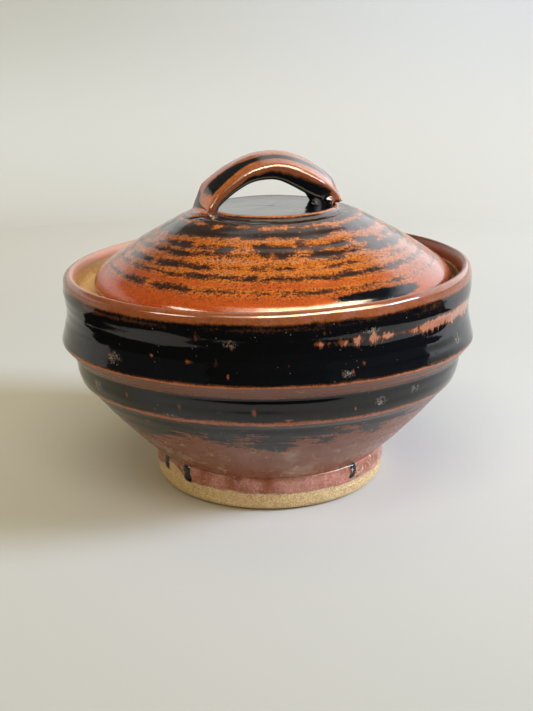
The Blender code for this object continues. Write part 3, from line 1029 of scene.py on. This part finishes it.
def stoneware(name, breaking=1.0, streaks=(60.0, 60.0, 420.0), dark=BLACK, edge=1.6,
              low=PLUM):
    """Iron glaze that breaks from black through brown to rust, over bare sandy clay."""
    n = Nodes.material(name)
    flow, rust_at, bare_at, deep_and_shade = (n.field(key) for key in ("flow", "rust", "bare", "deep_and_shade"))
    place = n.add("ShaderNodeTexCoord").outputs["Object"]

    streaky = n.noise(n.stretch(flow, streaks), 1.0, 5.0, 0.62, 0.2)
    fleck = n.noise(place, 1100.0, 3.0, 0.62)
    cloud = n.noise(place, 110.0, 3.0, 0.5)
    mottle = n.noise(place, 380.0, 3.0, 0.6)
    ragged = n.push(rust_at, streaky, 5.0 * breaking)
    ragged = n.push(ragged, mottle, 4.0 * breaking)
    ragged = n.push(ragged, fleck, 4.6 * breaking)
    strokes = n.noise(n.stretch(flow, (620.0, 620.0, 150.0)), 1.0, 3.0, 0.6)
    ragged = n.math("MULTIPLY_ADD", n.push(0.0, strokes, 7.0), n.field("runs"), ragged)
    brushed = n.noise(n.stretch(flow, (55.0, 55.0, 330.0)), 1.0, 5.0, 0.66, 0.3)
    ragged = n.math("MULTIPLY_ADD", n.push(0.0, brushed, 13.0), n.field("fray"), ragged)
    ragged = n.product(ragged, edge)
    rust = n.step(ragged, -0.5, 0.7)

    low_rust = n.mix(n.step(cloud, 0.3, 0.7), low, RUST)
    high_rust = n.mix(n.step(mottle, 0.4, 0.62), ORANGE, OCHRE)
    tone = n.push(n.field("warm"), streaky, 0.6)
    rusty = n.mix(n.step(tone, 0.1, 0.85), low_rust, high_rust)
    rusty = n.mix(n.step(n.push(n.field("red"), cloud, 0.8), 0.1, 0.9), rusty, RED)
    rusty = n.mix(n.step(fleck, 0.56, 0.38, 0.0, 0.45), rusty, BROWN)
    rusty = n.mix(n.step(mottle, 0.5, 0.36, 0.0, 0.4), rusty, BROWN)
    # Darkened towards deep rust: on the lip, the lid's right shoulder and the strap's front face,
    # and as painted shade under the arris, on the cone and in the gallery.
    rusty = n.mix(deep_and_shade, rusty, DEEP_RUST)
    # A pale pink: the ticks' own colour, and a painted sheen on the rim.
    rusty = n.mix(n.field("pale"), rusty, PALE)
    craze = n.field("craze")
    worn = n.step(n.noise(place, 40.0, 5.0, 0.65), 0.5, 0.72)
    rusty = n.mix(n.product(worn, craze, 0.45), rusty, CRUST)

    pepper = n.noise(place, 820.0, 2.0, 0.6)
    pepper = n.product(n.step(pepper, 0.515, 0.56), n.step(mottle, 0.4, 0.52))
    rusty = n.mix(n.product(pepper, n.field("speckle")), rusty, DEEP_BROWN)

    dark = n.mix(n.field("ink"), dark, BLACK)
    glaze = n.mix(n.step(ragged, -1.5, -0.3), dark, DEEP_BROWN)
    glaze = n.mix(n.step(ragged, -0.4, 0.5), glaze, BROWN)
    glaze = n.mix(n.step(ragged, 0.1, 1.3), glaze, rusty)

    far, cell = n.dots(n.stretch(place, (1.0, 1.0, 0.6)), 150.0)
    spot = n.step(n.push(far, fleck, 0.25), 0.13, 0.05)
    glaze = n.mix(n.product(spot, n.step(cell, 0.7, 0.72), 0.75), glaze, RUST)
    far, cell = n.dots(place, 520.0)
    dust = n.product(n.step(far, 0.2, 0.08), n.step(cell, 0.72, 0.74))
    glaze = n.mix(n.product(dust, n.step(cloud, 0.45, 0.6), 0.3), glaze, CRUST)
    # Thin pale lines at the nicks: scuffs, and at one place a painted glint.
    scuff_and_glint = n.noise(n.stretch(place, (1.0, 1.0, 0.7)), 420.0, 3.0, 0.7, 1.5)
    scuff_and_glint = n.product(n.veins(scuff_and_glint, 0.022, 0.006), n.field("nick_and_glint"), 0.7)
    glaze = n.mix(scuff_and_glint, glaze, CRUST)
    vein = n.product(n.veins(n.noise(place, 70.0, 4.0, 0.6, 0.5), 0.012, 0.003), craze)
    glaze = n.mix(n.product(vein, n.step(cloud, 0.5, 0.62)), glaze, CRUST)

    grain = n.noise(place, 1500.0, 5.0, 0.75)
    sand = n.dots(place, 1300.0)[0]
    clay = n.mix(n.step(grain, 0.38, 0.58), CLAY_DARK, CLAY)
    clay = n.mix(n.step(n.noise(place, 300.0, 3.0), 0.4, 0.75, 0.0, 0.35), clay, CLAY_DARK)
    # Painted shade on bare clay where the darkening field is set, as in the gallery.
    clay = n.mix(n.product(deep_and_shade, 0.8), clay, CLAY_PAINTED_SHADE)
    bare_ragged = n.push(bare_at, fleck, 1.6)
    bare = n.step(bare_ragged, -0.12, 0.12)
    crust = n.product(n.step(bare_ragged, -0.75, -0.35), n.step(bare_ragged, 0.25, 0.0),
                      n.step(cloud, 0.42, 0.58))
    glaze = n.mix(crust, glaze, CRUST)
    n.feed(n.shader.inputs["Base Color"], n.mix(bare, glaze, clay))

    gloss = n.blend(rust, 0.07, 0.13)
    gloss = n.math("MULTIPLY_ADD", n.field("satin"), 0.24, gloss)
    gloss = n.math("MULTIPLY_ADD", n.step(cloud, 0.45, 0.8), 0.05, gloss)
    n.feed(n.shader.inputs["Roughness"], n.blend(bare, gloss, 0.88))

    peel = n.noise(place, 260.0, 2.0, 0.5)
    lines = n.noise(n.stretch(flow, (18.0, 18.0, 900.0)), 1.0, 3.0, 0.6)
    skin = n.bump(peel, 0.0001, 0.55)
    skin = n.bump(lines, 0.00004, 0.35, skin)
    skin = n.bump(rust, 0.00005, 0.5, skin)
    rough_clay = n.product(n.math("ADD", grain, n.step(sand, 0.1, 0.5, 0.0, 0.6)), bare)
    skin = n.bump(rough_clay, 0.00045, 0.9, skin)
    skin = n.bump(n.step(bare_ragged, -0.7, 0.15), -0.0004, 0.8, skin)
    n.feed(n.shader.inputs["Normal"], skin)
    n.feed(n.shader.inputs["IOR"], 1.5)
    return n.owner


# ======== studio
CAMERA_DISTANCE = 0.56        # in front of the wheel axis
CAMERA_HEIGHT = 0.2407
CAMERA_X = -0.0014
CAMERA_PITCH = math.radians(17.48)
CAMERA_ROLL = math.radians(-0.6)
SENSOR = 36.0                 # long side of the sensor, in millimetres
LENS = 54.0759494             # focal length, in millimetres


def make_camera():
    """The viewpoint: a little above the rim, looking down on the lid."""
    data = bpy.data.cameras.new("camera")
    data.sensor_width = SENSOR
    data.lens = LENS
    data.clip_start = 0.01
    camera = placed("camera", data)
    camera.location = (CAMERA_X, -CAMERA_DISTANCE, CAMERA_HEIGHT)
    camera.rotation_mode = "ZYX"          # the roll is about the camera's own axis
    camera.rotation_euler = (math.pi / 2 - CAMERA_PITCH, 0.0, CAMERA_ROLL)
    bpy.context.scene.camera = camera


FLOOR_RADIUS = 0.8
BEND = 0.35                   # radius of the curve between floor and wall
WALL_TOP = 0.42
CARD_Z = 0.002                # height of the cards on the floor
FLOOR_Z = -0.0003             # just below the foot, so that the two never touch
MIRRORED = 14                 # the glaze mirrors the wall only up to this step of the curve


def make_sweep():
    """A pale round floor that curves up into a low wall, seen the same from all sides."""
    arc = [math.radians(90 * i / 16) for i in range(17)]
    wall = [(FLOOR_RADIUS + BEND * math.sin(a), FLOOR_Z + BEND * (1 - math.cos(a))) for a in arc]
    wall.append((FLOOR_RADIUS + BEND, WALL_TOP))
    floor = [(radius, FLOOR_Z) for radius in (0.0001, 0.25, 0.5, FLOOR_RADIUS)]
    paper = studio_paper()
    around(floor, "studio_floor", 0, 360, paper)
    low, high = wall[:MIRRORED + 1], wall[MIRRORED:]
    around(low, "studio_wall_back", 90, 270, paper)
    hide_from(around(high, "studio_top_back", 90, 270, paper), "glossy")
    for part, name in ((low, "studio_wall_front"), (high, "studio_top_front")):
        front = around(part, name, -90, 90, paper)
        hide_from(front, "shadow", "diffuse", "glossy")


def around(line, name, start, end, paper):
    """Part of the studio, turned about the pot's axis between two angles from the front."""
    line = np.array(line)
    angles = np.radians(np.linspace(start, end, 97))[:, None]
    x = line[:, 0] * np.sin(angles)
    y = -line[:, 0] * np.cos(angles)
    z = np.broadcast_to(line[:, 1], x.shape)
    points = np.stack([x, y, z], -1).reshape(-1, 3)
    faces = grid_faces(len(angles), len(line), close_sides=False)[:, ::-1]
    part = mesh_object(name, points, faces, {})
    part.data.materials.append(paper)
    return part


# Paper tones with painted light and shade: darker near the viewer, lighter far off, warm and dark
# high on the left, cool and bright high on the right.
PAPER = (0.7, 0.695, 0.68)
PAPER_NEAR_SHADE = (0.49, 0.485, 0.455)
PAPER_FAR_LIT = (0.8, 0.795, 0.77)
PAPER_HIGH_LEFT_SHADE = (0.59, 0.575, 0.52)
PAPER_HIGH_RIGHT_LIT = (0.74, 0.75, 0.78)


def studio_paper():
    """Matt paper with painted light: darker and greyer towards the viewer, brighter far off, and
    on the wall darker and warmer on the left, brighter and cooler on the right.
    """
    n = matt("studio_paper", (*PAPER, 1.0), 0.8)
    x, y, z = n.place("Object")
    tone = n.mix(n.step(y, -0.42, 0.1), PAPER_NEAR_SHADE, PAPER)
    tone = n.mix(n.step(y, 0.2, 0.65), tone, PAPER_FAR_LIT)
    high = n.mix(n.step(x, -0.45, 0.4), PAPER_HIGH_LEFT_SHADE, PAPER_HIGH_RIGHT_LIT)
    tone = n.mix(n.step(z, 0.05, 0.3), tone, high)
    n.feed(n.shader.inputs["Base Color"], tone)
    return n.owner


def hide_from(item, *rays):
    """Makes a thing invisible to some kinds of ray."""
    for ray in rays:
        setattr(item, "visible_" + ray, False)


def matt(name, colour, rough):
    """A material without any shine."""
    n = Nodes.material(name)
    for key, value in (("Base Color", colour), ("Roughness", rough), ("Specular IOR Level", 0.0)):
        n.feed(n.shader.inputs[key], value)
    return n


def dark_card(name, corners):
    """A black card outside the view, for the glaze to reflect."""
    card = mesh_object(name, np.array(corners), np.array([[0, 1, 2, 3]]), {})
    card.data.materials.append(matt(name, (0.01, 0.01, 0.012, 1.0), 0.9).owner)
    hide_from(card, "camera", "shadow", "diffuse")


def floor_card(name, low, high):
    """A black card on the floor that only mirrors see."""
    dark_card(name, [(x, y, CARD_Z) for x, y in ((low[0], low[1]), (high[0], low[1]),
                                                 (high[0], high[1]), (low[0], high[1]))])


def area_light(name, place, aim, size, power, colour):
    """A soft rectangular light."""
    data = bpy.data.lights.new(name, "AREA")
    data.shape = "RECTANGLE"
    data.size, data.size_y = size
    data.energy = power
    data.color = colour
    light = placed(name, data)
    light.location = place
    light.rotation_euler = (Vector(aim) - Vector(place)).to_track_quat("-Z", "Y").to_euler()
    hide_from(light, "camera")
    return light


def round_pot(turn, rise, distance):
    """A place at an angle from the front, a rise above the floor, and a distance."""
    a, e = math.radians(turn), math.radians(rise)
    return (distance * math.cos(e) * math.sin(a), -distance * math.cos(e) * math.cos(a),
            distance * math.sin(e))


SKY_BACK = (1.02, 1.03, 0.98)      # mirrored from behind the pot
SKY_LOW_LEFT = (0.12, 0.12, 0.11)  # a dark corner behind, low on the left
SKY_RIGHT = (2.4, 2.5, 2.65)       # the same on the window side
SKY_FRONT = (0.046, 0.048, 0.055)  # mirrored from above and in front
SKY_WINDOW = (8.0, 7.3, 6.2)       # a window high up on the camera's side
SKY_LAMP = (46.0, 39.0, 26.0)      # the lamp in the middle of it
SKY_SIDE = (26.0, 23.5, 19.5)      # smaller windows to the left and right of it
SKY_AMBIENT = (0.44, 0.38, 0.22)   # soft light on matt surfaces
SKY_SEEN = (0.55, 0.55, 0.52)      # seen directly, above the paper


def make_world():
    """What the glaze mirrors: bright behind, dark above and in front, with three windows."""
    world = bpy.data.worlds.new("studio")
    bpy.context.scene.world = world
    sky = Nodes(world, "Background")
    x, y, z = sky.place("Generated")
    wide = sky.math("ABSOLUTE", x)
    aside = sky.step(wide, 0.2, 0.42, 0.0, 0.22)
    behind = sky.product(sky.step(y, 0.02, 0.35), sky.step(sky.math("ADD", z, aside), 0.97, 0.84))
    low_left = sky.product(sky.step(x, -0.04, -0.16), sky.step(z, 0.86, 0.74),
                           sky.step(z, 0.38, 0.47))
    window_side = sky.product(sky.step(x, 0.1, 0.5), sky.step(z, 0.78, 0.6))
    bright = sky.mix(window_side, SKY_BACK, SKY_RIGHT)
    bright = sky.mix(low_left, bright, SKY_LOW_LEFT)

    turned = sky.math("SUBTRACT", y, sky.product(sky.math("MAXIMUM", x, 0.0), 0.25))
    ahead = sky.product(sky.step(turned, -0.14, -0.26), sky.step(z, 0.58, 0.66),
                        sky.step(z, 0.93, 0.84), sky.step(x, 0.72, 0.63),
                        sky.step(x, -0.46, -0.2))
    core = sky.step(sky.math("ABSOLUTE", sky.math("SUBTRACT", x, 0.28)), 0.42, 0.32)
    front = sky.mix(ahead, SKY_FRONT, sky.mix(core, SKY_WINDOW, SKY_LAMP))
    sides = sky.product(sky.step(wide, 0.56, 0.66), sky.step(wide, 0.86, 0.78),
                        sky.step(z, 0.44, 0.52), sky.step(z, 0.68, 0.6),
                        sky.step(y, -0.16, -0.28))
    front = sky.mix(sides, front, SKY_SIDE)

    mirrored = sky.mix(behind, front, bright)
    ray = sky.add("ShaderNodeLightPath").outputs
    lit = sky.mix(ray["Is Glossy Ray"], SKY_AMBIENT, mirrored)
    sky.feed(sky.shader.inputs["Color"], sky.mix(ray["Is Camera Ray"], lit, SKY_SEEN))


def make_studio():
    """Camera, floor, cards, lights and surroundings."""
    make_camera()
    make_sweep()
    floor_card("card_front", (-1.6, -2.2), (1.6, -0.215))
    floor_card("card_right", (0.3, -0.215), (1.6, 0.09))
    floor_card("card_left", (-1.6, -0.215), (-0.27, 0.09))
    dark_card("photographer", [(-0.35, -0.6, 0.1), (0.35, -0.6, 0.1),
                               (0.35, -0.6, 0.46), (-0.35, -0.6, 0.46)])
    aim = (0.0, 0.0, 0.05)
    area_light("window", round_pot(80, 32, 1.6), aim, (0.45, 0.45), 28.0, (0.66, 0.78, 1.0))
    area_light("backdrop", (0.45, 0.7, 0.5), (0.35, 1.2, 0.1), (1.2, 0.3), 0.45,
               (0.8, 0.88, 1.0))
    fill = area_light("fill", round_pot(-4, 58, 1.3), aim, (0.9, 0.3), 5.4,
                      (1.0, 0.92, 0.78))
    hide_from(fill, "glossy")
    make_world()
    bpy.context.scene.view_settings.view_transform = "Standard"


# ======== the pot
def finish_piece(item, material, body, node):
    """Gives a piece its material and its body, and hides the CAD node it stands for."""
    item.data.materials.clear()
    item.data.materials.append(material)
    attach(item, body)
    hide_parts(node)


finish_piece(make_bowl(), stoneware("bowl_glaze", 0.35), "pot", "bowl")
finish_piece(make_foot(), stoneware("foot_glaze", 0.3, low=FOOT_PLUM), "pot",
             "foot_ring")
finish_piece(make_lid(), stoneware("lid_glaze", 1.0, (150.0, 150.0, 560.0), SLATE, 1.0),
             "lid", "lid")
finish_piece(make_handle(), stoneware("handle_glaze", 0.35, (260.0, 260.0, 260.0)), "lid",
             "strap_handle")
make_studio()
